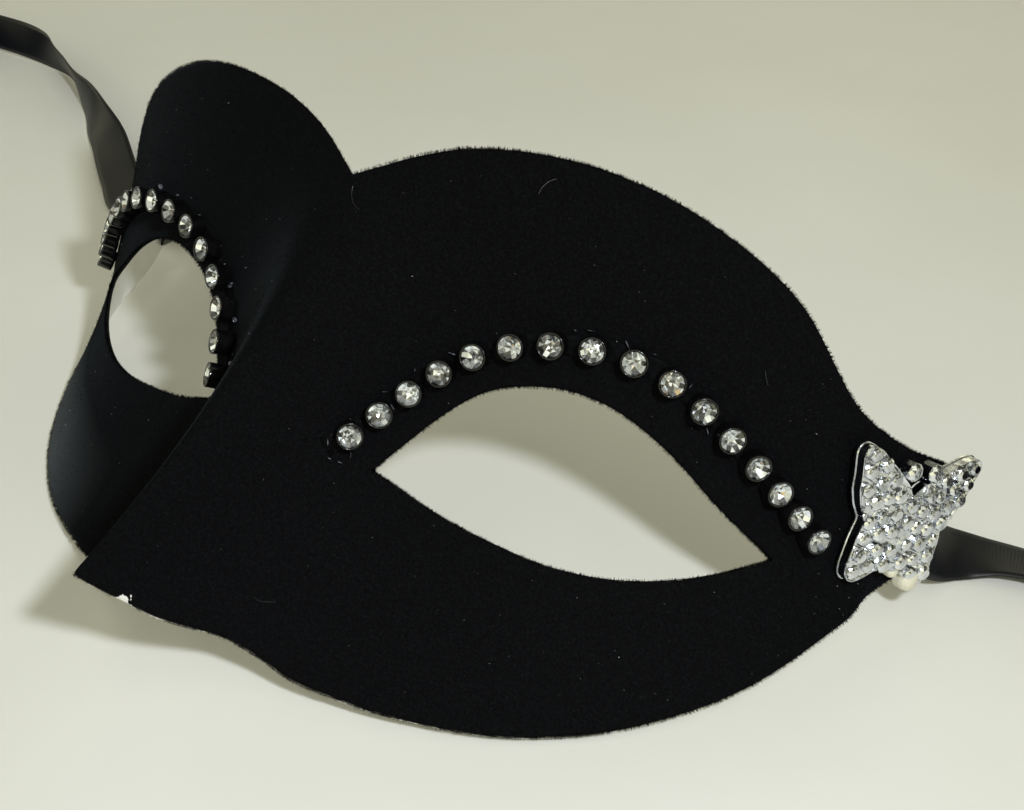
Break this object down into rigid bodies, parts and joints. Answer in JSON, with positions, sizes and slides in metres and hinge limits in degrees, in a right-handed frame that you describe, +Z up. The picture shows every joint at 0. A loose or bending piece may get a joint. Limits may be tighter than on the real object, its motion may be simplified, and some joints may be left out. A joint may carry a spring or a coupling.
{
  "type": "masquerade mask",
  "caption": "Black flocked half mask with open almond eyes, a row of clear stones over each eye, a silver butterfly on each temple and satin tie ribbons, lying loose on its lower rim.",
  "frame": {"origin": "under the middle of the mask without its ribbons, on the surface that its lower rim lies on", "axes": "+X across the mask towards its right side as seen from the front, +Y towards its back, +Z up; the face looks towards -Y and upwards"},
  "size_m": [0.4668, 0.1695, 0.0692],
  "materials": {
    "flocked_plastic": "black flock outside, plain white moulded plastic inside",
    "cup_plastic": "glossy black",
    "stone": "clear, faceted, foiled at the back",
    "silver_coat": "bright silver coating on moulded plastic",
    "satin": "black satin ribbon"
  },
  "bodies": {
    "root": {"mask_shell": "flocked_plastic", "brow_strip_right": "cup_plastic", "brow_strip_left": "cup_plastic", "stone_right_01": "stone", "stone_right_02": "stone", "stone_right_03": "stone", "stone_right_04": "stone", "stone_right_05": "stone", "stone_right_06": "stone", "stone_right_07": "stone", "stone_right_08": "stone", "stone_right_09": "stone", "stone_right_10": "stone", "stone_right_11": "stone", "stone_right_12": "stone", "stone_right_13": "stone", "stone_right_14": "stone", "stone_right_15": "stone", "stone_right_16": "stone", "stone_left_01": "stone", "stone_left_02": "stone", "stone_left_03": "stone", "stone_left_04": "stone", "stone_left_05": "stone", "stone_left_06": "stone", "stone_left_07": "stone", "stone_left_08": "stone", "stone_left_09": "stone", "stone_left_10": "stone", "stone_left_11": "stone", "stone_left_12": "stone", "stone_left_13": "stone", "stone_left_14": "stone", "stone_left_15": "stone", "stone_left_16": "stone", "butterfly_right": "silver_coat", "butterfly_left": "silver_coat", "ribbon_right": "satin", "ribbon_left": "satin", "ribbon_right_coil": "satin", "ribbon_left_coil": "satin"}
  },
  "joints": []
}
